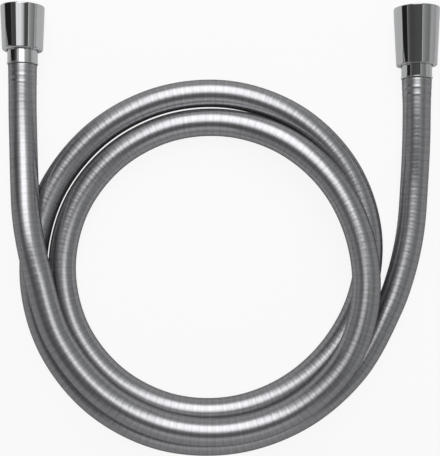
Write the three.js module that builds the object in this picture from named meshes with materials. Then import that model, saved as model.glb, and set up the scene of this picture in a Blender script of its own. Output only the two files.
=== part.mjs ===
// Shower hose, 1.6 m, lying in two and a half loose turns with both ends side by side.
// Millimetres, +Z up. The origin is on the floor, midway between the two end fittings.
// Both fittings point along +Y. The hose lies on the floor and crosses over itself twice.
//
// Short end: a cone nut turns on a flanged nipple that is barbed into the hose and crimped
// under a ferrule. Long end: the same, but the nut sits on a sleeve that turns on the
// nipple between a snap ring and a collar, sealed by an O-ring, so the hose can't twist.

import * as THREE from "three";

// Pipe thread of both nuts (half inch), cut later: the bore is at its minor diameter.
const THREAD_MINOR_R = 9.4;
const THREAD_RELIEF_R = 10.5;
const THREAD_LEAD_R = 10.6;
const THREAD_LEAD = 1.1;
const RELIEF_LENGTH = 2;

// Clearances between pieces.
const FACE_GAP = 0.3;
const RUNNING_GAP = 0.3;
const CRIMP_GAP = 0.2;
const SEAL_GAP = 0.12;

// Hose of three-layer PVC.
const HOSE_R = 7.5;
const HOSE_BORE_R = 4.6;
const HOSE_SIDES = 12;
const HOSE_STEPS = 80;

// Flat rubber washer, one in each nut.
const WASHER_R = 9.1;
const WASHER_HOLE_R = 5.75;
const WASHER_THICKNESS = 2;
const WASHER_DEPTH = 9.3;

// Water way and barbs of both nipples.
const NIPPLE_BORE_R = 2.8;
const NIPPLE_NECK_R = 4.6;
const SPIGOT_ROOT_R = 3.6;
const BARB_R = 4.1;
const BARB_PITCH = 3.4;
const FLANGE_R = 9.1;

// Ferrules: a thin sleeve with an inward lip in front and a rolled bead behind.
const FERRULE_LIP = 0.6;
const FERRULE_BEAD_R = 0.3;
const FERRULE_BEAD_LENGTH = 0.9;

// Short end.
const SHORT = {
  x: -107.3,
  mouthY: 24.4,
  mouthR: 11.9,
  rearR: 10.85,
  length: 24,
  mouthEdge: 0.45,
  rearEdge: 1,
  flangeThickness: 2,
  ferruleWall: 0.35,
  ferruleShows: 7.5,
  spigotPastFerrule: 10.4,
};

// Long end.
const LONG = {
  x: 106.8,
  mouthY: 23.2,
  mouthR: 12.4,
  rearR: 10.9,
  length: 31,
  mouthEdge: 0.35,
  rearEdge: 0.5,
  flangeThickness: 3,
  ferruleWall: 0.45,
  ferruleShows: 7.2,
  spigotPastFerrule: 9.4,
};

// Swivel parts of the long end.
const SWIVEL_SPIGOT_R = 5.2;
const SLEEVE_R = 7.4;
const SLEEVE_TAIL = 5.8;
const POCKET_DEPTH = 2.4;
const POCKET_R = 6.6;
const SNAP_RING_THICKNESS = 1;
const SNAP_RING_R = 6.25;
const SNAP_RING_INNER_R = 4.7;
const SNAP_RING_SLOT = Math.PI / 6;
const RING_GROOVE_R = 4.4;
const RING_SIDE_GAP = 0.1;
const O_RING_SECTION_R = 0.72;
const O_RING_GROOVE_R = 3.85;
const O_RING_GROOVE = 2.2;
const O_RING_DEPTH = 2.7;
const COLLAR_R = 7.4;
const COLLAR_THICKNESS = 1.5;

const ROUND = 48;
const SMALL_ROUND = 32;

// The loops are given as turns round this centre: angle in degrees, radius, height of the
// hose's own centre. The lower turns lie on the floor and the last one lies in the groove
// between them, after it has climbed over the inner turn.
const LOOP_CENTRE = [-3.3, -117.2];
const LOOPS = [
  [324, 95.4, 7.5],
  [300, 94.6, 7.5],
  [276, 95.4, 7.5],
  [252, 97.2, 7.5],
  [228, 98.5, 7.5],
  [204, 99.2, 7.5],
  [180, 99.1, 7.5],
  [156, 98.4, 7.5],
  [132, 97.2, 7.5],
  [108, 96.0, 7.5],
  [84, 94.9, 7.5],
  [60, 93.0, 7.5],
  [36, 90.2, 7.5],
  [12, 86.5, 7.5],
  [-12, 82.3, 7.5],
  [-36, 79.3, 7.5],
  [-60, 78.4, 7.5],
  [-84, 79.1, 7.5],
  [-108, 80.6, 7.5],
  [-132, 82.1, 7.5],
  [-156, 83.2, 7.5],
  [-180, 83.3, 7.5],
  [-204, 82.6, 7.5],
  [-228, 81.3, 7.5],
  [-252, 80.1, 7.5],
  [-276, 79.1, 9.0],
  [-300, 78.5, 14.2],
  [-324, 78.5, 19.1],
  [-348, 79.4, 22.3],
  [-372, 82.3, 23.4],
  [-396, 85.8, 22.3],
  [-420, 87.0, 21.3],
  [-444, 87.4, 21.2],
  [-468, 88.2, 21.2],
  [-492, 89.4, 21.4],
  [-516, 91.0, 21.8],
  [-540, 94.3, 23.1],
];
// From the long end's nipple down to the floor, and from the last crossing to the short end.
const FROM_LONG_END = [
  [106.8, -25.3, 12.4],
  [107.0, -47.7, 10.3],
  [106.5, -69.5, 8.0],
  [104.8, -94.2, 7.5],
  [102.3, -109.0, 7.5],
  [98.6, -123.2, 7.5],
  [93.0, -138.6, 7.5],
];
const TO_SHORT_END = [
  [-101.2, -100.8, 23.0],
  [-103.4, -87.3, 21.2],
  [-105.2, -70.1, 16.9],
  [-106.6, -50.9, 12.9],
  [-107.3, -33.3, 11.6],
  [-107.3, -18.3, 11.9],
];

const finish = (color, roughness, metalness) =>
  new THREE.MeshStandardMaterial({ color, roughness, metalness });
const chrome = () => finish(0xc9ccd0, 0.08, 1);
const brass = () => finish(0xb08d4a, 0.3, 1);
const acetal = () => finish(0xe6e4dc, 0.45, 0);
const rubber = () => finish(0x1c1c1e, 0.7, 0);
const spring = () => finish(0x8f9296, 0.3, 1);
const silverPvc = () => finish(0x85868a, 0.32, 0.55);

// A turned piece: the outline's points are [radius, depth behind the mouth], and run from
// the rear up the outside to the mouth and back down the inside.
function turned(name, outline, material, segments = ROUND) {
  const points = outline.map(([r, depth]) => new THREE.Vector2(r, -depth));
  points.push(points[0].clone());
  const mesh = new THREE.Mesh(new THREE.LatheGeometry(points, segments), material);
  mesh.name = name;
  return mesh;
}

// Points of a quarter-round edge from one side to the next.
function roundEdge(centreR, centreDepth, edge, from, to, count = 3) {
  return Array.from({ length: count + 1 }, (_, i) => {
    const a = THREE.MathUtils.degToRad(from + ((to - from) * i) / count);
    return [centreR + edge * Math.cos(a), centreDepth - edge * Math.sin(a)];
  });
}

// Where the pieces of one end lie, as depths behind the mouth of its nut.
function stackOf(end, collar) {
  const washerBack = WASHER_DEPTH + WASHER_THICKNESS;
  const flangeFront = washerBack + FACE_GAP;
  const flangeBack = flangeFront + end.flangeThickness;
  const ferruleFront = flangeBack + collar + FACE_GAP;
  const ferruleBack = end.length + end.ferruleShows;
  return {
    washerBack,
    flangeFront,
    flangeBack,
    shoulder: flangeBack + FACE_GAP,
    ferruleFront,
    ferruleBack,
    hoseStart: ferruleFront + FERRULE_LIP + FACE_GAP,
    ferruleR: HOSE_R + CRIMP_GAP + end.ferruleWall,
    spigotEnd: ferruleBack + end.spigotPastFerrule,
  };
}

// Cone nut: a conical shell with the thread's bore, its relief, and a shoulder that pulls
// on the flange behind the washer. The ferrule turns in its rear bore.
function coneNut(name, end, stack) {
  const rearBoreR = stack.ferruleR + RUNNING_GAP;
  const edge = end.mouthEdge;
  const rear = end.rearEdge;
  const reliefStart = WASHER_DEPTH + FACE_GAP - RELIEF_LENGTH / 2;
  return turned(
    name,
    [
      [rearBoreR + edge, end.length],
      ...roundEdge(end.rearR - rear, end.length - rear, rear, -90, 0),
      ...roundEdge(end.mouthR - edge, edge, edge, 0, 90, 2),
      [THREAD_LEAD_R, 0],
      [THREAD_MINOR_R, THREAD_LEAD],
      [THREAD_MINOR_R, reliefStart],
      [THREAD_RELIEF_R, reliefStart + RELIEF_LENGTH / 4],
      [THREAD_RELIEF_R, reliefStart + RELIEF_LENGTH],
      [THREAD_MINOR_R, reliefStart + RELIEF_LENGTH],
      [THREAD_MINOR_R, stack.shoulder],
      [rearBoreR, stack.shoulder],
      [rearBoreR, end.length - edge],
    ],
    chrome(),
  );
}

function washer(name, stack) {
  return turned(
    name,
    [
      [WASHER_R, stack.washerBack],
      [WASHER_R, WASHER_DEPTH],
      [WASHER_HOLE_R, WASHER_DEPTH],
      [WASHER_HOLE_R, stack.washerBack],
    ],
    rubber(),
  );
}

// Ferrule: drawn sleeve crimped over the hose, its front lip trapped behind the nipple.
function ferrule(name, stack) {
  const innerR = HOSE_R + CRIMP_GAP;
  const beadR = stack.ferruleR + FERRULE_BEAD_R;
  const beadStart = stack.ferruleBack - FERRULE_BEAD_LENGTH;
  return turned(
    name,
    [
      [innerR, stack.ferruleBack],
      [stack.ferruleR, stack.ferruleBack],
      [beadR, stack.ferruleBack - FERRULE_BEAD_LENGTH / 3],
      [beadR, beadStart + FERRULE_BEAD_LENGTH / 3],
      [stack.ferruleR, beadStart],
      [stack.ferruleR, stack.ferruleFront + FERRULE_LIP / 2],
      [stack.ferruleR - FERRULE_LIP / 2, stack.ferruleFront],
      [NIPPLE_NECK_R + RUNNING_GAP, stack.ferruleFront],
      [NIPPLE_NECK_R + RUNNING_GAP, stack.ferruleFront + FERRULE_LIP],
      [innerR, stack.ferruleFront + FERRULE_LIP],
    ],
    chrome(),
  );
}

// Barbed spigot of a nipple, from its tip up to the neck under the ferrule's lip. Each barb
// leans forwards, so that the hose goes on but doesn't come off.
function spigotOutline(stack) {
  const neckEnd = stack.hoseStart;
  const count = Math.floor((stack.spigotEnd - neckEnd - BARB_PITCH / 2) / BARB_PITCH);
  const outline = [
    [NIPPLE_BORE_R, stack.spigotEnd],
    [SPIGOT_ROOT_R, stack.spigotEnd],
  ];
  for (let i = 0; i < count; i += 1) {
    const tip = stack.spigotEnd - i * BARB_PITCH;
    outline.push([BARB_R, tip - BARB_PITCH * 0.8]);
    outline.push([SPIGOT_ROOT_R, tip - BARB_PITCH * 0.85]);
  }
  outline.push([SPIGOT_ROOT_R, neckEnd]);
  outline.push([NIPPLE_NECK_R, neckEnd - FACE_GAP]);
  return outline;
}

// Short end's nipple: one flange that the nut pulls on, and the barbed spigot.
function shortNipple(stack) {
  return turned(
    "short_nipple",
    [
      ...spigotOutline(stack),
      [NIPPLE_NECK_R, stack.flangeBack],
      [FLANGE_R, stack.flangeBack],
      [FLANGE_R, stack.flangeFront],
      [NIPPLE_BORE_R, stack.flangeFront],
    ],
    brass(),
    SMALL_ROUND,
  );
}

// Where the swivel's pieces lie, as depths behind the mouth.
function swivelOf(stack) {
  const pocketFloor = stack.flangeFront + POCKET_DEPTH;
  const ringBack = pocketFloor - FACE_GAP;
  const sleeveBack = stack.flangeBack + SLEEVE_TAIL;
  const oRing = stack.flangeBack + O_RING_DEPTH;
  return {
    pocketFloor,
    ringBack,
    ringFront: ringBack - SNAP_RING_THICKNESS,
    sleeveBack,
    oRing,
    collarFront: sleeveBack + FACE_GAP,
  };
}

// Long end's nipple: the spigot that turns in the sleeve, with grooves for the snap ring
// and the O-ring, then the collar and the barbed spigot.
function longNipple(stack, swivel) {
  const collarBack = swivel.collarFront + COLLAR_THICKNESS;
  return turned(
    "long_nipple",
    [
      ...spigotOutline(stack),
      [NIPPLE_NECK_R, collarBack],
      [COLLAR_R, collarBack],
      [COLLAR_R, swivel.collarFront],
      [SWIVEL_SPIGOT_R, swivel.collarFront],
      [SWIVEL_SPIGOT_R, swivel.oRing + O_RING_GROOVE / 2],
      [O_RING_GROOVE_R, swivel.oRing + O_RING_GROOVE / 2],
      [O_RING_GROOVE_R, swivel.oRing - O_RING_GROOVE / 2],
      [SWIVEL_SPIGOT_R, swivel.oRing - O_RING_GROOVE / 2],
      [SWIVEL_SPIGOT_R, swivel.ringBack + RING_SIDE_GAP],
      [RING_GROOVE_R, swivel.ringBack + RING_SIDE_GAP],
      [RING_GROOVE_R, swivel.ringFront - RING_SIDE_GAP],
      [SWIVEL_SPIGOT_R, swivel.ringFront - RING_SIDE_GAP],
      [SWIVEL_SPIGOT_R, stack.flangeFront + FACE_GAP],
      [NIPPLE_BORE_R, stack.flangeFront + FACE_GAP],
    ],
    brass(),
    SMALL_ROUND,
  );
}

// Swivel sleeve: the flange that the nut pulls on, a pocket for the snap ring, and the bore
// that the nipple turns in.
function swivelSleeve(stack, swivel) {
  const boreR = SWIVEL_SPIGOT_R + RUNNING_GAP;
  return turned(
    "swivel_sleeve",
    [
      [boreR, swivel.sleeveBack],
      [SLEEVE_R, swivel.sleeveBack],
      [SLEEVE_R, stack.flangeBack],
      [FLANGE_R, stack.flangeBack],
      [FLANGE_R, stack.flangeFront],
      [POCKET_R, stack.flangeFront],
      [POCKET_R, swivel.pocketFloor],
      [boreR, swivel.pocketFloor],
    ],
    acetal(),
    SMALL_ROUND,
  );
}

function oRing(swivel) {
  const boreR = SWIVEL_SPIGOT_R + RUNNING_GAP;
  const centreR = boreR - SEAL_GAP - O_RING_SECTION_R;
  const sides = 12;
  const outline = Array.from({ length: sides }, (_, i) => {
    const a = (2 * Math.PI * i) / sides;
    return [
      centreR + O_RING_SECTION_R * Math.cos(a),
      swivel.oRing - O_RING_SECTION_R * Math.sin(a),
    ];
  });
  return turned("swivel_o_ring", outline, rubber(), SMALL_ROUND);
}

// Snap ring: a flat ring with one slot, sprung into the nipple's front groove.
function snapRing(swivel) {
  const half = SNAP_RING_SLOT / 2;
  const outline = new THREE.Shape();
  outline.absarc(0, 0, SNAP_RING_R, half, 2 * Math.PI - half, false);
  outline.absarc(0, 0, SNAP_RING_INNER_R, 2 * Math.PI - half, half, true);
  outline.closePath();
  const geometry = new THREE.ExtrudeGeometry(outline, {
    depth: SNAP_RING_THICKNESS,
    bevelEnabled: false,
    curveSegments: SMALL_ROUND,
  });
  geometry.rotateX(-Math.PI / 2);
  geometry.translate(0, -swivel.ringBack, 0);
  const mesh = new THREE.Mesh(geometry, spring());
  mesh.name = "snap_ring";
  return mesh;
}

// The hose: one tube through the chosen points, from nipple to nipple.
function hose(shortStack, longStack) {
  const loops = LOOPS.map(([degrees, radius, height]) => {
    const a = THREE.MathUtils.degToRad(degrees);
    return [
      LOOP_CENTRE[0] + radius * Math.cos(a),
      LOOP_CENTRE[1] + radius * Math.sin(a),
      height,
    ];
  });
  const points = [
    [LONG.x, LONG.mouthY - longStack.hoseStart, LONG.mouthR],
    ...FROM_LONG_END,
    ...loops,
    ...TO_SHORT_END,
    [SHORT.x, SHORT.mouthY - shortStack.hoseStart, SHORT.mouthR],
  ].map(([x, y, z]) => new THREE.Vector3(x, y, z));
  const route = new THREE.CatmullRomCurve3(points, false, "centripetal");
  route.arcLengthDivisions = 2000;
  const ring = (radius) =>
    Array.from({ length: HOSE_SIDES }, (_, i) => {
      const a = (2 * Math.PI * i) / HOSE_SIDES;
      return new THREE.Vector2(radius * Math.cos(a), radius * Math.sin(a));
    });
  const section = new THREE.Shape(ring(HOSE_R));
  section.holes.push(new THREE.Path(ring(HOSE_BORE_R)));
  const geometry = new THREE.ExtrudeGeometry(section, {
    steps: HOSE_STEPS,
    bevelEnabled: false,
    extrudePath: route,
  });
  const mesh = new THREE.Mesh(geometry, silverPvc());
  mesh.name = "hose";
  return mesh;
}

// Each end stands at its nut's mouth, resting on the rim.
function endGroup(end, pieces) {
  const group = new THREE.Group();
  group.position.set(end.x, end.mouthY, end.mouthR);
  group.add(...pieces);
  return group;
}

const shortStack = stackOf(SHORT, 0);
const longStack = stackOf(LONG, SLEEVE_TAIL + FACE_GAP + COLLAR_THICKNESS);
const swivel = swivelOf(longStack);

const part = new THREE.Group();
part.add(
  hose(shortStack, longStack),
  endGroup(SHORT, [
    coneNut("short_cone_nut", SHORT, shortStack),
    washer("short_washer", shortStack),
    shortNipple(shortStack),
    ferrule("short_ferrule", shortStack),
  ]),
  endGroup(LONG, [
    coneNut("long_cone_nut", LONG, longStack),
    washer("long_washer", longStack),
    swivelSleeve(longStack, swivel),
    snapRing(swivel),
    oRing(swivel),
    longNipple(longStack, swivel),
    ferrule("long_ferrule", longStack),
  ]),
);

export default part;
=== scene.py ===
import math

import bpy
import numpy as np
from mathutils import Matrix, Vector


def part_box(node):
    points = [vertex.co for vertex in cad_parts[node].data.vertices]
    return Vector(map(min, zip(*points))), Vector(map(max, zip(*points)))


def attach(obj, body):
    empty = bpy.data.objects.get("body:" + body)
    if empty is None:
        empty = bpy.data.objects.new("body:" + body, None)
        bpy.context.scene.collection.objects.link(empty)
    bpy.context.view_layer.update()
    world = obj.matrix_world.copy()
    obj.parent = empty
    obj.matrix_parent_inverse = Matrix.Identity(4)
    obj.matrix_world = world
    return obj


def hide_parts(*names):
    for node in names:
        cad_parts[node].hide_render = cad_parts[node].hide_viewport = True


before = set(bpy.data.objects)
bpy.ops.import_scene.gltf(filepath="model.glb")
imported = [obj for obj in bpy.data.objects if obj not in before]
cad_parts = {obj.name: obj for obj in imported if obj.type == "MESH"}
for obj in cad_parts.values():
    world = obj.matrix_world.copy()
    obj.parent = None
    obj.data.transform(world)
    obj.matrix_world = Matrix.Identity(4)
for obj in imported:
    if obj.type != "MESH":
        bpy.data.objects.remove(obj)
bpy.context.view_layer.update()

# The camera looks straight down on the loops from 490 mm over the floor. Its frame is 456
# pixels high, and one pixel covers 0.557 mm of the floor. All sizes are in millimetres, and
# MM turns them into metres.
MM = 0.001
FLOOR_PER_PX = 0.557 * MM
CAMERA_HEIGHT_PX = 880
FRAME_HEIGHT_PX = 456
FRAME_CENTRE_Y = -95.8 * MM

lens = bpy.data.cameras.new("camera")
lens.lens = lens.sensor_width * CAMERA_HEIGHT_PX / FRAME_HEIGHT_PX
lens.clip_start = 10 * MM
camera = bpy.data.objects.new("camera", lens)
camera.location = (0, FRAME_CENTRE_Y, CAMERA_HEIGHT_PX * FLOOR_PER_PX)
bpy.context.scene.collection.objects.link(camera)
bpy.context.scene.camera = camera

# The hose is one extruded PVC tube: a silver layer with a fine cross-wise ripple under a
# clear glossy skin. It is pushed on the barbs of a nipple at each end and lies in loose
# turns on the floor.
HOSE_R = 7.5
HOSE_BORE_R = 4.6
HOSE_SIDES = 44
RING_STEP = 1.15
END_RING_STEP = 0.3
END_LENGTH = 36
BORE_STEP = 7
LOOK_AHEAD = 0.5

# The route's points in millimetres, from the long end to the short one. The turns are
# given round one centre, as angle in degrees, radius and height of the hose's middle.
LOOP_CENTRE = (-3.3, -117.2)
HOSE_START = (106.8, -0.2, 12.4)
FROM_LONG_END = [
    (106.8, -25.3, 12.4), (107.0, -47.7, 10.3), (106.5, -69.5, 8.0), (104.8, -94.2, 7.5),
    (102.3, -109.0, 7.5), (98.6, -123.2, 7.5), (93.0, -138.6, 7.5),
]
LOOPS = [
    (324, 95.4, 7.5), (300, 94.6, 7.5), (276, 95.4, 7.5), (252, 97.2, 7.5), (228, 98.5, 7.5),
    (204, 99.2, 7.5), (180, 99.1, 7.5), (156, 98.4, 7.5), (132, 97.2, 7.5), (108, 96.0, 7.5),
    (84, 94.9, 7.5), (60, 93.0, 7.5), (36, 90.2, 7.5), (12, 86.5, 7.5), (-12, 82.3, 7.5),
    (-36, 79.3, 7.5), (-60, 78.4, 7.5), (-84, 79.1, 7.5), (-108, 80.6, 7.5), (-132, 82.1, 7.5),
    (-156, 83.2, 7.5), (-180, 83.3, 7.5), (-204, 82.6, 7.5), (-228, 81.3, 7.5),
    (-252, 80.1, 7.5), (-276, 79.1, 9.0), (-300, 78.5, 14.2), (-324, 78.5, 19.1),
    (-348, 79.4, 22.3), (-372, 82.3, 23.4), (-396, 85.8, 22.3), (-420, 87.0, 21.3),
    (-444, 87.4, 21.2), (-468, 88.2, 21.2), (-492, 89.4, 21.4), (-516, 91.0, 21.8),
    (-540, 94.3, 23.1),
]
TO_SHORT_END = [
    (-101.2, -100.8, 23.0), (-103.4, -87.3, 21.2), (-105.2, -70.1, 16.9),
    (-106.6, -50.9, 12.9), (-107.3, -33.3, 11.6), (-107.3, -18.3, 11.9),
]
HOSE_END = (-107.3, 9.6, 11.9)

# How far each ferrule reaches along the hose, and how the hose swells behind it: the
# swelling at the ferrule, where it has died away, and the last barbs that print through.
LONG_END_SWELL = {"ferrule": 14.8, "swell": 0.52, "dies": 17, "barbs": (5.0, 8.7), "barb": 0.1}
SHORT_END_SWELL = {"ferrule": 16.7, "swell": 0.2, "dies": 14, "barbs": (6.6, 9.9), "barb": 0.07}
SWELL_RISE = 0.6
SWELL_POWER = 1.6
BARB_PRINT_WIDTH = 0.65

# The ripple: two waves along the hose that beat with each other, in millimetres.
RIPPLE_PITCH = 2.1
BEAT_PITCH = 4.0
RIPPLE_DEPTH = 0.02


def loop_points(loops, centre):
    """Turns each (angle, radius, height) into x, y, z round the centre."""
    degrees, radius, height = np.array(loops).T
    angle = np.radians(degrees)
    return np.stack(
        [centre[0] + radius * np.cos(angle), centre[1] + radius * np.sin(angle), height], axis=1
    )


def smooth_route(points, samples=300):
    """Centripetal Catmull-Rom curve. Between two points it is the cubic whose end slopes
    come from the neighbours, with each span weighted by the square root of its length."""
    p = np.vstack([2 * points[0] - points[1], points, 2 * points[-1] - points[-2]])
    span = np.sqrt(np.linalg.norm(np.diff(p, axis=0), axis=1))[:, None]
    p0, p1, p2, p3 = p[:-3], p[1:-2], p[2:-1], p[3:]
    s0, s1, s2 = span[:-2], span[1:-1], span[2:]
    leave = ((p1 - p0) / s0 - (p2 - p0) / (s0 + s1)) * s1 + p2 - p1
    arrive = ((p3 - p2) / s2 - (p3 - p1) / (s1 + s2)) * s1 + p2 - p1
    t = np.linspace(0, 1, samples, endpoint=False)[None, :, None]
    p1, p2, leave, arrive = (a[:, None, :] for a in (p1, p2, leave, arrive))
    curve = (
        (2 * t**3 - 3 * t**2 + 1) * p1
        + (t**3 - 2 * t**2 + t) * leave
        + (3 * t**2 - 2 * t**3) * p2
        + (t**3 - t**2) * arrive
    )
    return np.vstack([curve.reshape(-1, 3), points[-1]])


def swelling(behind, swell, dies, barbs, barb):
    """Added radius at a distance behind the ferrule: a taper that rises in a straight line
    and dies away as a power curve, plus a bell curve over each barb."""
    rise = np.clip(behind / SWELL_RISE, 0, 1)
    taper = swell * rise * np.clip(1 - behind / dies, 0, 1) ** SWELL_POWER
    prints = sum(barb * np.exp(-(((behind - at) / BARB_PRINT_WIDTH) ** 2)) for at in barbs)
    return np.where(behind > 0, taper + prints, 0)


def rings(centres, forward, radii, sides):
    """Rings across a route: point j of a ring is its centre plus the radius times the cosine
    of the angle 2 pi j / sides to the side and its sine upwards."""
    side = np.cross(forward, (0, 0, 1))
    side /= np.linalg.norm(side, axis=1)[:, None]
    up = np.cross(side, forward)
    angle = 2 * np.pi * np.arange(sides) / sides
    spoke = np.cos(angle)[:, None] * side[:, None] + np.sin(angle)[:, None] * up[:, None]
    return centres[:, None] + radii[:, None, None] * spoke


def closed_grid(name, grid, finish, attributes=None):
    """Mesh of a grid of points in millimetres that closes on itself both ways, as a tube
    with a bore does. Its faces are turned outwards by the sign of its volume."""
    rows, columns = grid.shape[:2]
    i, j = np.arange(rows)[:, None], np.arange(columns)[None, :]
    i2, j2 = (i + 1) % rows, (j + 1) % columns
    corners = (i * columns + j, i * columns + j2, i2 * columns + j2, i2 * columns + j)
    faces = np.stack(corners, axis=-1).reshape(-1, 4)
    points = grid.reshape(-1, 3) * MM
    a, b, c, d = (points[faces[:, k]] - points.mean(axis=0) for k in range(4))
    volume = (np.cross(b, c) * a).sum() + (np.cross(c, d) * a).sum()
    if volume < 0:
        faces = faces[:, ::-1]
    mesh = bpy.data.meshes.new(name)
    mesh.from_pydata(points.tolist(), [], faces.tolist())
    for key, values in (attributes or {}).items():
        layer = mesh.attributes.new(key, "FLOAT_VECTOR", "POINT")
        layer.data.foreach_set("vector", values.reshape(-1).astype(np.float32))
    mesh.shade_smooth()
    mesh.materials.append(finish.material)
    piece = bpy.data.objects.new(name, mesh)
    bpy.context.scene.collection.objects.link(piece)
    return piece


class Socket:
    """A node's output. Python arithmetic on it adds Math nodes."""

    def __init__(self, finish, output):
        self.finish, self.output = finish, output

    def math(self, operation, *values):
        inputs = dict(enumerate(values))
        return self.finish.node("ShaderNodeMath", {"operation": operation}, inputs)

    def __add__(self, other):
        return self.math("ADD", self, other)

    def __mul__(self, other):
        return self.math("MULTIPLY", self, other)

    def __sub__(self, other):
        return self.math("SUBTRACT", self, other)

    def __rsub__(self, other):
        return self.math("SUBTRACT", other, self)

    __radd__, __rmul__ = __add__, __mul__


class Finish:
    """A material made of nodes, or the room's light."""

    def __init__(self, name, made_in=bpy.data.materials, shader="Principled BSDF"):
        self.material = made_in.new(name)
        self.material.use_nodes = True
        self.tree = self.material.node_tree
        self.surface = self.tree.nodes[shader]

    def feed(self, node, inputs):
        """Gives a node's sockets their values or links."""
        for key, value in inputs.items():
            if isinstance(value, Socket):
                self.tree.links.new(value.output, node.inputs[key])
            else:
                node.inputs[key].default_value = value

    def node(self, kind, settings=None, inputs=None, output=0):
        """Adds one node: its settings first, then its sockets."""
        node = self.tree.nodes.new(kind)
        for key, value in (settings or {}).items():
            setattr(node, key, value)
        self.feed(node, inputs or {})
        return Socket(self, node.outputs[output])

    def place(self):
        """The piece's own coordinates, in metres."""
        return self.node("ShaderNodeTexCoord", {}, output="Object")

    def stretched(self, vector, factors):
        """A vector with each of its three parts times its own factor."""
        inputs = {0: vector, 1: factors}
        return self.node("ShaderNodeVectorMath", {"operation": "MULTIPLY"}, inputs)

    def noise(self, vector, scale, detail=2.0):
        """Noise from 0 to 1, about scale times finer than the vector's unit."""
        inputs = {"Vector": vector, "Scale": scale, "Detail": detail}
        return self.node("ShaderNodeTexNoise", {}, inputs, "Fac")

    def wave(self, angle):
        """A sine of an angle, from -1 to 1."""
        return self.node("ShaderNodeMath", {"operation": "SINE"}, {0: angle})

    def tint(self, factor, dark, light):
        """Mixes two colours by a factor."""
        inputs = {0: factor, 6: (*dark, 1), 7: (*light, 1)}
        return self.node("ShaderNodeMix", {"data_type": "RGBA"}, inputs, 2)

    def bump(self, height, depth):
        """A normal from a height of about 0 to 1 that stands for a depth in metres."""
        return self.node("ShaderNodeBump", {}, {"Height": height, "Distance": depth})

    def coat(self, inputs):
        """Sets the surface's own sockets."""
        self.feed(self.surface, inputs)


def silver_pvc():
    """Silver layer under clear skin. The ripple runs round the hose: two sines along the route whose
    phases wander, and noise drawn out round the hose. It shows as relief, and as lighter and darker
    rings painted into the colour: painted shade of the ripple, on top of the streaks' own uneven
    tone."""
    silver = Finish("silver_pvc")
    skin = silver.node("ShaderNodeAttribute", {"attribute_name": "skin"}, output="Vector")
    along = silver.node("ShaderNodeSeparateXYZ", {}, {0: skin}, "X")
    # The phase, in radians, wanders over stretches of some 20 mm.
    wander = silver.noise(skin, 0.05) * 9
    fine = silver.wave(along * (2 * math.pi / RIPPLE_PITCH) + wander)
    broad = silver.wave(along * (2 * math.pi / BEAT_PITCH) - wander)
    streaks = silver.noise(silver.stretched(skin, (1, 0.08, 0.08)), 0.6, 3.0)
    height = fine * 0.35 + broad * 0.45 + streaks * 0.7
    # The colour's rings along the ripple are painted shade of its relief; the streaks add the
    # silver's own uneven tone.
    tone_and_painted_ripple_shade = streaks + (fine + broad) * 0.21
    silver.coat(
        {
            "Base Color": silver.tint(tone_and_painted_ripple_shade, (0.31, 0.31, 0.325), (0.395, 0.395, 0.41)),
            "Metallic": 0.92,
            "Roughness": silver.noise(skin, 0.12) * 0.06 + 0.26,
            "Specular Tint": (0.1, 0.1, 0.1, 1),
            "Coat Weight": 0.5,
            "Coat Roughness": 0.1,
            "Normal": silver.bump(height, RIPPLE_DEPTH * MM),
        }
    )
    return silver


route = smooth_route(
    np.vstack([HOSE_START, FROM_LONG_END, loop_points(LOOPS, LOOP_CENTRE), TO_SHORT_END, HOSE_END])
)
run = np.concatenate([[0], np.cumsum(np.linalg.norm(np.diff(route, axis=0), axis=1))])
length = run[-1]
outside = np.concatenate(
    [
        np.arange(0, END_LENGTH, END_RING_STEP),
        np.arange(END_LENGTH, length - END_LENGTH, RING_STEP),
        np.arange(length - END_LENGTH, length, END_RING_STEP),
        [length],
    ]
)
inside = np.linspace(length, 0, int(length / BORE_STEP))
along = np.concatenate([outside, inside])
centres = np.stack([np.interp(along, run, route[:, k]) for k in range(3)], axis=1)
ahead, behind = (
    np.stack([np.interp(np.clip(along + d, 0, length), run, route[:, k]) for k in range(3)], axis=1)
    for d in (LOOK_AHEAD, -LOOK_AHEAD)
)
forward = (ahead - behind) / np.linalg.norm(ahead - behind, axis=1)[:, None]
radii = np.full(len(along), HOSE_BORE_R)
radii[: len(outside)] = HOSE_R
for end, distance in ((LONG_END_SWELL, outside), (SHORT_END_SWELL, length - outside)):
    radii[: len(outside)] += swelling(
        distance - end["ferrule"], end["swell"], end["dies"], end["barbs"], end["barb"]
    )

# Where each point lies on the hose: how far along, and its place across the section.
angle = 2 * np.pi * np.arange(HOSE_SIDES) / HOSE_SIDES
skin = np.stack(
    [
        np.repeat(along[:, None], HOSE_SIDES, axis=1),
        radii[:, None] * np.cos(angle),
        radii[:, None] * np.sin(angle),
    ],
    axis=-1,
)
hose = closed_grid(
    "pvc_hose", rings(centres, forward, radii, HOSE_SIDES), silver_pvc(), {"skin": skin}
)
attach(hose, "hose_body")
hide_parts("hose")

# Both cone nuts are turned from brass and chromed. The bore carries the half-inch pipe
# thread, right-handed, with a lead-in at the mouth and a relief before the washer.
NUT_SIDES = 128
EDGE_STEPS = 6
SUPPORT = 0.06
THREAD_PITCH = 1.814
THREAD_MINOR_R = 9.32
THREAD_MAJOR_R = 10.48
THREAD_LEAD_R = 10.6
THREAD_LEAD = 1.1
THREAD_START = 0.12
THREAD_STOPS_SHORT = 0.1
ROWS_PER_PITCH = 12
RELIEF_R = 10.5
RELIEF_LENGTH = 1.5
RELIEF_BEFORE_WASHER = 0.2
WASHER_DEPTH = 9.3
WASHER_THICKNESS = 2
FACE_GAP = 0.3
RUNNING_GAP = 0.3
CRIMP_GAP = 0.2
FLANGE_R = 9.1
HOSE_INSET = 0.9
SHARP = 0.05

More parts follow.
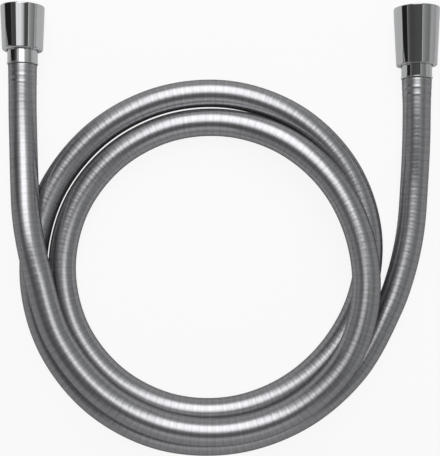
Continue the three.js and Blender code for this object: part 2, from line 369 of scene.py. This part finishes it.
# Each end's own sizes: the nut's rear radius, length and edges, the flange that the nut
# pulls on and what the swivel's collar adds behind it, the ferrule's wall and how far it
# shows, and how far the spigot reaches past it.
SHORT = {
    "nut": "short_cone_nut", "rear_r": 10.85, "length": 24, "mouth_edge": 0.45, "rear_edge": 1.0,
    "flange": 2, "collar": 0, "wall": 0.35, "shows": 7.5, "spigot": 10.4,
}
LONG = {
    "nut": "long_cone_nut", "rear_r": 10.9, "length": 31, "mouth_edge": 0.35, "rear_edge": 0.5,
    "flange": 3, "collar": 7.6, "wall": 0.45, "shows": 7.2, "spigot": 9.4,
}


def place_end(end):
    """Works out where an end's pieces lie: the middle of its mouth from the nut's box, and
    depths behind the mouth from the washer backwards."""
    low, high = (np.array(corner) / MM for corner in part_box(end["nut"]))
    end["middle"] = ((low[0] + high[0]) / 2, high[1], (low[2] + high[2]) / 2)
    end["mouth_r"] = (high[0] - low[0]) / 2
    end["washer_back"] = WASHER_DEPTH + WASHER_THICKNESS
    end["flange_front"] = end["washer_back"] + FACE_GAP
    end["flange_back"] = end["flange_front"] + end["flange"]
    end["shoulder"] = end["flange_back"] + FACE_GAP
    end["ferrule_front"] = end["flange_back"] + end["collar"] + FACE_GAP
    end["ferrule_back"] = end["length"] + end["shows"]
    end["ferrule_r"] = HOSE_R + CRIMP_GAP + end["wall"]
    end["hose_start"] = end["ferrule_front"] + HOSE_INSET
    end["spigot_end"] = end["ferrule_back"] + end["spigot"]


def edged(corners):
    """Outline of a turned piece from (radius, depth, edge) corners. Each corner is an arc of
    its edge's radius, with one more point just before and after it, so that the faces
    beside it stay flat when they are shaded smooth."""
    c = np.array(corners, float)
    before, after = np.roll(c, 1, axis=0), np.roll(c, -1, axis=0)
    back, on = before[:, :2] - c[:, :2], after[:, :2] - c[:, :2]
    back /= np.linalg.norm(back, axis=1)[:, None]
    on /= np.linalg.norm(on, axis=1)[:, None]
    half = np.arccos(np.clip((back * on).sum(axis=1), -1, 1)) / 2
    cut = (c[:, 2] / np.tan(half))[:, None]
    bisector = (back + on) / np.linalg.norm(back + on, axis=1)[:, None]
    centre = c[:, :2] + bisector * (c[:, 2] / np.sin(half))[:, None]
    start, stop = c[:, :2] + back * cut, c[:, :2] + on * cut
    t = np.linspace(0, 1, EDGE_STEPS + 1)[None, :, None]
    chord = start[:, None] * (1 - t) + stop[:, None] * t - centre[:, None]
    arc = centre[:, None] + chord / np.linalg.norm(chord, axis=2)[..., None] * c[:, 2][:, None, None]
    rows = [(start + back * SUPPORT)[:, None], arc, (stop + on * SUPPORT)[:, None]]
    return np.concatenate(rows, axis=1).reshape(-1, 2)


def turned(name, end, outline, finish, sides=NUT_SIDES, body=None, node=None):
    """Spins an outline of (radius, depth) round the end's axis: the point at angle a is the
    middle plus radius times cosine across and sine up, with the depth backwards. A third
    column, where the outline has one, marks the rows that carry the thread. There the
    radius is a smooth wave between the thread's two radii, moved on by one pitch a turn."""
    angle = 2 * np.pi * np.arange(sides) / sides
    radius = np.repeat(outline[:, 0][:, None], sides, axis=1)
    depth = np.repeat(outline[:, 1][:, None], sides, axis=1)
    if outline.shape[1] > 2:
        turn = (depth / THREAD_PITCH - angle / (2 * np.pi)) % 1
        groove = 1 - np.abs(2 * turn - 1)
        groove = groove * groove * (3 - 2 * groove)
        cut = THREAD_MINOR_R + (THREAD_MAJOR_R - THREAD_MINOR_R) * groove
        radius = np.where(outline[:, 2][:, None] > 0, np.maximum(radius, cut), radius)
    x, y, z = end["middle"]
    grid = np.stack([x + radius * np.cos(angle), y - depth, z + radius * np.sin(angle)], axis=-1)
    piece = closed_grid(name, grid, finish)
    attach(piece, body)
    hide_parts(node)
    return piece


def cone_nut_outline(end):
    """Rear face, cone, mouth, thread, relief, shoulder and rear bore. The thread's rows take
    the place of the corner at its end, and their third column marks them as cut."""
    bore = end["ferrule_r"] + RUNNING_GAP
    relief_front = WASHER_DEPTH - RELIEF_BEFORE_WASHER
    relief_back = relief_front + RELIEF_LENGTH
    shell = edged(
        [
            (bore, end["shoulder"], SHARP),
            (bore, end["length"], end["mouth_edge"]),
            (end["rear_r"], end["length"], end["rear_edge"]),
            (end["mouth_r"], 0, end["mouth_edge"]),
            (THREAD_LEAD_R, 0, 0.1),
            (THREAD_MINOR_R, relief_front, SHARP),
            (RELIEF_R, relief_front, SHARP),
            (RELIEF_R, relief_back, SHARP),
            (THREAD_MINOR_R, relief_back, SHARP),
            (THREAD_MINOR_R, end["shoulder"], SHARP),
        ]
    )
    per_corner = EDGE_STEPS + 3
    thread_end = 5 * per_corner
    rear_and_mouth, relief_on = shell[:thread_end], shell[thread_end + per_corner :]
    depth = np.arange(
        THREAD_START, relief_front - THREAD_STOPS_SHORT, THREAD_PITCH / ROWS_PER_PITCH
    )
    lead = THREAD_LEAD_R - (THREAD_LEAD_R - THREAD_MINOR_R) * np.clip(depth / THREAD_LEAD, 0, 1)
    thread = np.stack([lead, depth, np.ones_like(depth)], axis=1)
    return np.vstack(
        [
            np.column_stack([rear_and_mouth, np.zeros(len(rear_and_mouth))]),
            thread,
            np.column_stack([relief_on, np.zeros(len(relief_on))]),
        ]
    )


def chrome():
    """Polished chrome plate: almost mirror-like, with faint turning marks and a slight
    change of gloss."""
    plate = Finish("chrome_plate")
    cloud = plate.noise(plate.place(), 180.0, 3.0)
    marks = plate.noise(plate.stretched(plate.place(), (90, 4000, 90)), 1.0)
    plate.coat(
        {
            "Base Color": plate.tint(cloud, (0.56, 0.565, 0.575), (0.6, 0.605, 0.615)),
            "Metallic": 1.0,
            "Roughness": cloud * 0.03 + 0.025,
            "Normal": plate.bump(marks, 0.0006 * MM),
        }
    )
    return plate


place_end(SHORT)
place_end(LONG)
chrome_plate = chrome()
for end, body in ((SHORT, "short_nut"), (LONG, "long_nut")):
    turned(
        end["nut"].replace("cone_nut", "nut_chromed"), end, cone_nut_outline(end), chrome_plate,
        body=body, node=end["nut"],
    )

# Each ferrule is a thin drawn sleeve of chromed brass, crimped over the hose. Its front lip
# is caught behind the nipple and its rear edge is rolled to a bead.
FERRULE_LIP = 0.6
BEAD_R = 0.3
BEAD_LENGTH = 0.9
BEAD_EDGE = 0.28
NECK_R = 4.6

for end, name in ((SHORT, "short_ferrule"), (LONG, "long_ferrule")):
    inner, outer = HOSE_R + CRIMP_GAP, end["ferrule_r"]
    front, back = end["ferrule_front"], end["ferrule_back"]
    outline = edged(
        [
            (inner, back, 0.1),
            (outer + BEAD_R, back, BEAD_EDGE),
            (outer + BEAD_R, back - BEAD_LENGTH, BEAD_EDGE),
            (outer, back - BEAD_LENGTH, 0.02),
            (outer, front, FERRULE_LIP / 2),
            (NECK_R + RUNNING_GAP, front, 0.1),
            (NECK_R + RUNNING_GAP, front + FERRULE_LIP, SHARP),
            (inner, front + FERRULE_LIP, SHARP),
        ]
    )
    turned(name + "_crimped", end, outline, chrome_plate, body="hose_body", node=name)

# A flat washer of moulded black rubber lies loose in each nut, in front of the flange that
# the nut pulls on. The fitting's thread presses on it and so seals the joint.
WASHER_R = 9.1
WASHER_HOLE_R = 5.75
WASHER_EDGE = 0.25


def rubber():
    """Moulded black rubber: matt, with a fine grain and a dusty change of tone."""
    black = Finish("black_rubber")
    grain = black.noise(black.place(), 2500.0, 4.0)
    dust = black.noise(black.place(), 300.0)
    black.coat(
        {
            "Base Color": black.tint(dust, (0.016, 0.016, 0.017), (0.04, 0.04, 0.041)),
            "Roughness": grain * 0.15 + 0.55,
            "Normal": black.bump(grain, 0.02 * MM),
        }
    )
    return black


black_rubber = rubber()
for end, name, body in ((SHORT, "short_washer", "short_nut"), (LONG, "long_washer", "long_nut")):
    front, back = WASHER_DEPTH, end["washer_back"]
    outline = edged(
        [
            (WASHER_R, back, WASHER_EDGE), (WASHER_R, front, WASHER_EDGE),
            (WASHER_HOLE_R, front, WASHER_EDGE), (WASHER_HOLE_R, back, WASHER_EDGE),
        ]
    )
    turned(
        name + "_moulded", end, outline, black_rubber,
        body=body, node=name,
    )

# Both nipples are turned from brass. A spigot with forward-leaning barbs grips the hose; at
# the short end a flange takes the nut's pull.
NIPPLE_BORE_R = 2.8
SPIGOT_ROOT_R = 3.6
BARB_R = 4.1
BARB_PITCH = 3.4
BARB_TOP = 0.8
BARB_FOOT = 0.85
BARB_EDGE = 0.03


def brass():
    """Turned brass with tool marks round its axis and a faint brown tarnish."""
    metal = Finish("turned_brass")
    marks = metal.noise(metal.stretched(metal.place(), (60, 9000, 60)), 1.0)
    tarnish = metal.noise(metal.place(), 350.0, 3.0)
    metal.coat(
        {
            "Base Color": metal.tint(tarnish, (0.52, 0.36, 0.14), (0.72, 0.55, 0.27)),
            "Metallic": 1.0,
            "Roughness": tarnish * 0.12 + 0.2,
            "Normal": metal.bump(marks, 0.004 * MM),
        }
    )
    return metal


def spigot_corners(end):
    """Corners of the barbed spigot, from its tip up to the neck under the ferrule's lip."""
    top = end["hose_start"]
    count = math.floor((end["spigot_end"] - top - BARB_PITCH / 2) / BARB_PITCH)
    corners = [(NIPPLE_BORE_R, end["spigot_end"], 0.2), (SPIGOT_ROOT_R, end["spigot_end"], 0.2)]
    for i in range(count):
        tip = end["spigot_end"] - i * BARB_PITCH
        corners.append((BARB_R, tip - BARB_PITCH * BARB_TOP, BARB_EDGE))
        corners.append((SPIGOT_ROOT_R, tip - BARB_PITCH * BARB_FOOT, BARB_EDGE))
    return [*corners, (SPIGOT_ROOT_R, top, SHARP), (NECK_R, top - FACE_GAP, SHARP)]


turned_brass = brass()
turned(
    "short_nipple_turned",
    SHORT,
    edged(
        [
            *spigot_corners(SHORT),
            (NECK_R, SHORT["flange_back"], 0.2),
            (FLANGE_R, SHORT["flange_back"], 0.15),
            (FLANGE_R, SHORT["flange_front"], 0.15),
            (NIPPLE_BORE_R, SHORT["flange_front"], 0.3),
        ]
    ),
    turned_brass,
    body="hose_body",
    node="short_nipple",
)

# The long end's brass nipple turns in a flanged sleeve of turned acetal, between a snap
# ring and a collar, so that the hose can't twist. It has a groove for the ring and one for
# the O-ring.
SWIVEL_R = 5.2
SLEEVE_R = 7.4
SLEEVE_TAIL = 5.8
POCKET_DEPTH = 2.4
POCKET_R = 6.6
RING_THICKNESS = 1
RING_GROOVE_R = 4.4
RING_SIDE_GAP = 0.1
O_RING_R = 0.72
O_RING_GROOVE_R = 3.85
O_RING_GROOVE = 2.2
O_RING_DEPTH = 2.7
SEAL_GAP = 0.12
COLLAR_R = 7.4
COLLAR_THICKNESS = 1.5

pocket_floor = LONG["flange_front"] + POCKET_DEPTH
ring_back = pocket_floor - FACE_GAP
ring_front = ring_back - RING_THICKNESS
sleeve_back = LONG["flange_back"] + SLEEVE_TAIL
collar_front = sleeve_back + FACE_GAP
collar_back = collar_front + COLLAR_THICKNESS
o_ring_depth = LONG["flange_back"] + O_RING_DEPTH
o_ring_front, o_ring_back = o_ring_depth - O_RING_GROOVE / 2, o_ring_depth + O_RING_GROOVE / 2
turned(
    "long_nipple_turned",
    LONG,
    edged(
        [
            *spigot_corners(LONG),
            (NECK_R, collar_back, 0.2),
            (COLLAR_R, collar_back, 0.15),
            (COLLAR_R, collar_front, 0.15),
            (SWIVEL_R, collar_front, 0.2),
            (SWIVEL_R, o_ring_back, SHARP),
            (O_RING_GROOVE_R, o_ring_back, 0.1),
            (O_RING_GROOVE_R, o_ring_front, 0.1),
            (SWIVEL_R, o_ring_front, SHARP),
            (SWIVEL_R, ring_back + RING_SIDE_GAP, SHARP),
            (RING_GROOVE_R, ring_back + RING_SIDE_GAP, SHARP),
            (RING_GROOVE_R, ring_front - RING_SIDE_GAP, SHARP),
            (SWIVEL_R, ring_front - RING_SIDE_GAP, SHARP),
            (SWIVEL_R, LONG["flange_front"] + FACE_GAP, 0.2),
            (NIPPLE_BORE_R, LONG["flange_front"] + FACE_GAP, 0.3),
        ]
    ),
    turned_brass,
    body="hose_body",
    node="long_nipple",
)


def acetal():
    """Turned white acetal: slightly waxy, with fine tool marks."""
    white = Finish("white_acetal")
    marks = white.noise(white.stretched(white.place(), (60, 6000, 60)), 1.0)
    white.coat(
        {
            "Base Color": white.tint(marks, (0.68, 0.66, 0.62), (0.76, 0.745, 0.71)),
            "Roughness": marks * 0.1 + 0.35,
            "Normal": white.bump(marks, 0.004 * MM),
        }
    )
    return white


bore = SWIVEL_R + RUNNING_GAP
turned(
    "swivel_sleeve_turned",
    LONG,
    edged(
        [
            (bore, sleeve_back, 0.2), (SLEEVE_R, sleeve_back, 0.3),
            (SLEEVE_R, LONG["flange_back"], 0.2), (FLANGE_R, LONG["flange_back"], 0.2),
            (FLANGE_R, LONG["flange_front"], 0.2), (POCKET_R, LONG["flange_front"], 0.2),
            (POCKET_R, pocket_floor, 0.1), (bore, pocket_floor, 0.1),
        ]
    ),
    acetal(),
    body="swivel",
    node="swivel_sleeve",
)

# The O-ring is moulded black rubber. It lies in the long nipple's groove and seals the
# swivel's spigot in the sleeve's bore.
O_RING_SIDES = 24

section = 2 * np.pi * np.arange(O_RING_SIDES) / O_RING_SIDES
o_ring_centre = bore - SEAL_GAP - O_RING_R
turned(
    "swivel_o_ring_moulded",
    LONG,
    np.column_stack(
        [o_ring_centre + O_RING_R * np.cos(section), o_ring_depth - O_RING_R * np.sin(section)]
    ),
    black_rubber,
    body="hose_body",
    node="swivel_o_ring",
)


# The snap ring is a slotted strip of spring steel, sprung into the long nipple's groove so
# that the nipple can't leave the sleeve. Its solid has the right form and stays.
def spring_steel():
    """Spring steel strip with a bluish temper colour that comes and goes."""
    steel = Finish("spring_steel")
    temper = steel.noise(steel.place(), 250.0, 3.0)
    grain = steel.noise(steel.place(), 3000.0)
    steel.coat(
        {
            "Base Color": steel.tint(temper, (0.24, 0.25, 0.28), (0.42, 0.42, 0.43)),
            "Metallic": 1.0,
            "Roughness": temper * 0.15 + 0.25,
            "Normal": steel.bump(grain, 0.004 * MM),
        }
    )
    return steel


snap_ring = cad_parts["snap_ring"]
snap_ring.data.materials.clear()
snap_ring.data.materials.append(spring_steel().material)

# The floor is a matt white board that stays white in the camera and in reflections, and
# keeps part of the hose's shadow.
FLOOR_SIZE = 6
FLOOR_WHITE = 0.75
GLOW_SEEN = 0.9
GLOW_MIRRORED = 0.1


def sheet_of(name, corners, finish, seen=True):
    """Flat stage piece with the given corners."""
    mesh = bpy.data.meshes.new(name)
    mesh.from_pydata(corners, [], [tuple(range(len(corners)))])
    mesh.materials.append(finish.material)
    piece = bpy.data.objects.new(name, mesh)
    piece.visible_camera = seen
    bpy.context.scene.collection.objects.link(piece)


def white_board():
    """Matt white paint, with its own light in the rays of the camera and of mirrors."""
    board = Finish("white_board")
    white = (FLOOR_WHITE, FLOOR_WHITE, FLOOR_WHITE, 1)
    board.coat({"Base Color": white, "Roughness": 1.0, "Specular IOR Level": 0.0})
    camera_ray, glossy_ray, clear_ray = (
        board.node("ShaderNodeLightPath", {}, output=f"Is {ray} Ray")
        for ray in ("Camera", "Glossy", "Transmission")
    )
    glow = board.node("ShaderNodeEmission", {}, {"Color": (1, 1, 1, 1), "Strength": 1.0})
    share = camera_ray * GLOW_SEEN + (glossy_ray + clear_ray) * GLOW_MIRRORED
    paint = Socket(board, board.surface.outputs[0])
    shown = board.node("ShaderNodeMixShader", {}, {0: share, 1: paint, 2: glow})
    board.feed(board.tree.nodes["Material Output"], {"Surface": shown})
    return board


half = FLOOR_SIZE / 2
sheet_of(
    "floor", [(-half, -half, 0), (half, -half, 0), (half, half, 0), (-half, half, 0)], white_board()
)

# The room is the same for every ray: pale at the horizon, darker on the left, and dark
# overhead. Its tones go by how far upwards a ray points, from the side to overhead.
ROOM_TONES = [(0.0, 0.48), (0.42, 0.48), (0.5, 0.36), (0.62, 0.16), (1.0, 0.12)]
ROOM_SLOPE = 0.1

room = Finish("room", bpy.data.worlds, "Background")
bpy.context.scene.world = room.material
toward = room.node("ShaderNodeTexCoord", {}, output="Generated")
sideways = room.node("ShaderNodeSeparateXYZ", {}, {0: toward}, "X")
upward = room.node("ShaderNodeSeparateXYZ", {}, {0: toward}, "Z")
tone = room.node("ShaderNodeFloatCurve", {}, {"Value": upward})
curve = tone.output.node.mapping.curves[0]
curve.points[0].location, curve.points[-1].location = ROOM_TONES[0], ROOM_TONES[-1]
for stop in ROOM_TONES[1:-1]:
    curve.points.new(*stop)
tone.output.node.mapping.update()
room.coat({"Color": (1, 1, 1, 1), "Strength": tone * (sideways * ROOM_SLOPE + (1 - ROOM_SLOPE))})

# Softboxes beyond the top of the frame and a wash from the front. Two strips light the
# hose's lower runs alone, and three panels the left nut alone. The lower softbox, the wide
# one and the wash are shielded from both cone nuts and the right ferrule.
SHIELDED = ("EXCLUDE", ["short_nut_chromed", "long_nut_chromed", "long_ferrule_crimped"])
LEFT_NUT = ("INCLUDE", ["short_nut_chromed"])
HOSE_ALONE = ("INCLUDE", ["pvc_hose"])
LAMPS = [
    # name, place, aim, size across, size along, radiance, spread in degrees, which pieces
    ("key_softbox", (-20, 456, 654), (0, -13, -55), 600, 660, 2.45, 180, None),
    ("key_lower_part", (-20, 98, 891), (0, -371, 182), 600, 200, 1.9, 180, SHIELDED),
    ("wide_softbox", (-20, 378, 717), (0, -91, 8), 1200, 1200, 0.5, 180, SHIELDED),
    ("left_strip", (-22, -150, 150), (-92, -145, 25), 80, 90, 0.16, 55, HOSE_ALONE),
    ("right_strip", (45, -150, 150), (79, -145, 25), 70, 80, 0.11, 60, HOSE_ALONE),
    ("front_wash", (0, -650, 450), (0, -200, 0), 600, 300, 0.6, 180, SHIELDED),
    ("left_panel_bright", (-121.3, 27, 120), (-121.3, 27, 0), 53.5, 120, 1.04, 180, LEFT_NUT),
    ("left_panel_middle", (-85, 27, 120), (-85, 27, 0), 19, 120, 0.7, 180, LEFT_NUT),
    ("left_panel_dim", (-70, 27, 120), (-70, 27, 0), 10.5, 120, 0.3, 180, LEFT_NUT),
]


def lamp(name, place, aim, across, along, radiance, spread, which):
    """A rectangular lamp, whose power is its radiance times pi times its area. A narrow
    spread gathers that light, so such a lamp's radiance is given low. Its second side lies
    as near to Y as its aim allows. It can light some pieces alone, or all but some."""
    data = bpy.data.lights.new(name, "AREA")
    data.shape = "RECTANGLE"
    data.size, data.size_y = across * MM, along * MM
    data.energy = radiance * math.pi * data.size * data.size_y
    data.spread = math.radians(spread)
    source = bpy.data.objects.new(name, data)
    bpy.context.scene.collection.objects.link(source)
    back = np.array(place, float) - np.array(aim, float)
    back /= np.linalg.norm(back)
    up = np.array((0, 1, 0)) - back * back[1]
    up /= np.linalg.norm(up)
    right = np.cross(up, back)
    columns = [(*axis, 0) for axis in (right, up, back)] + [(*np.array(place) * MM, 1)]
    source.matrix_world = Matrix(columns).transposed()
    source.visible_camera = False
    if which:
        state, pieces = which
        group = bpy.data.collections.new(name + "_pieces")
        source.light_linking.receiver_collection = group
        for piece in pieces:
            group.objects.link(bpy.data.objects[piece])
        for member in group.collection_objects:
            member.light_linking.link_state = state


for settings in LAMPS:
    lamp(*settings)

# Two cards that only reflections show, and that glow with their own light at their tones: a black
# one on the left, and a grey one on the right with a pale edge on top.
BLACK_CARD = [(-500, 75, 20), (-500, 400, 20), (-500, 400, 350), (-500, 40, 350), (-500, 50, 160)]
GREY_CARD = [(203, -300, 80), (203, 300, 80), (203, 300, 300), (203, -300, 300)]
PALE_EDGE = [(203, -300, 306), (203, 300, 306), (203, 300, 350), (203, -300, 350)]


def card(name, corners, low, high=None):
    """A card that glows with its own light at one tone, or with a glow that fades from one tone to
    another over its height.
    """
    paper = Finish(name)
    paper.coat({"Base Color": (0, 0, 0, 1), "Specular IOR Level": 0.0, "Emission Strength": 1.0})
    if high is None:
        paper.coat({"Emission Color": (*low, 1)})
    else:
        place = paper.node("ShaderNodeTexCoord", {}, output="Generated")
        height = paper.node("ShaderNodeSeparateXYZ", {}, {0: place}, "Z")
        paper.coat({"Emission Color": paper.tint(height, low, high)})
    sheet_of(name, [tuple(np.array(corner) * MM) for corner in corners], paper, seen=False)


card("black_card", BLACK_CARD, (0.02, 0.02, 0.02))
card("grey_card", GREY_CARD, (0.235, 0.25, 0.235), (0.455, 0.475, 0.455))
card("pale_edge", PALE_EDGE, (0.8, 0.8, 0.8))

scene = bpy.context.scene
scene.view_settings.view_transform = "Standard"
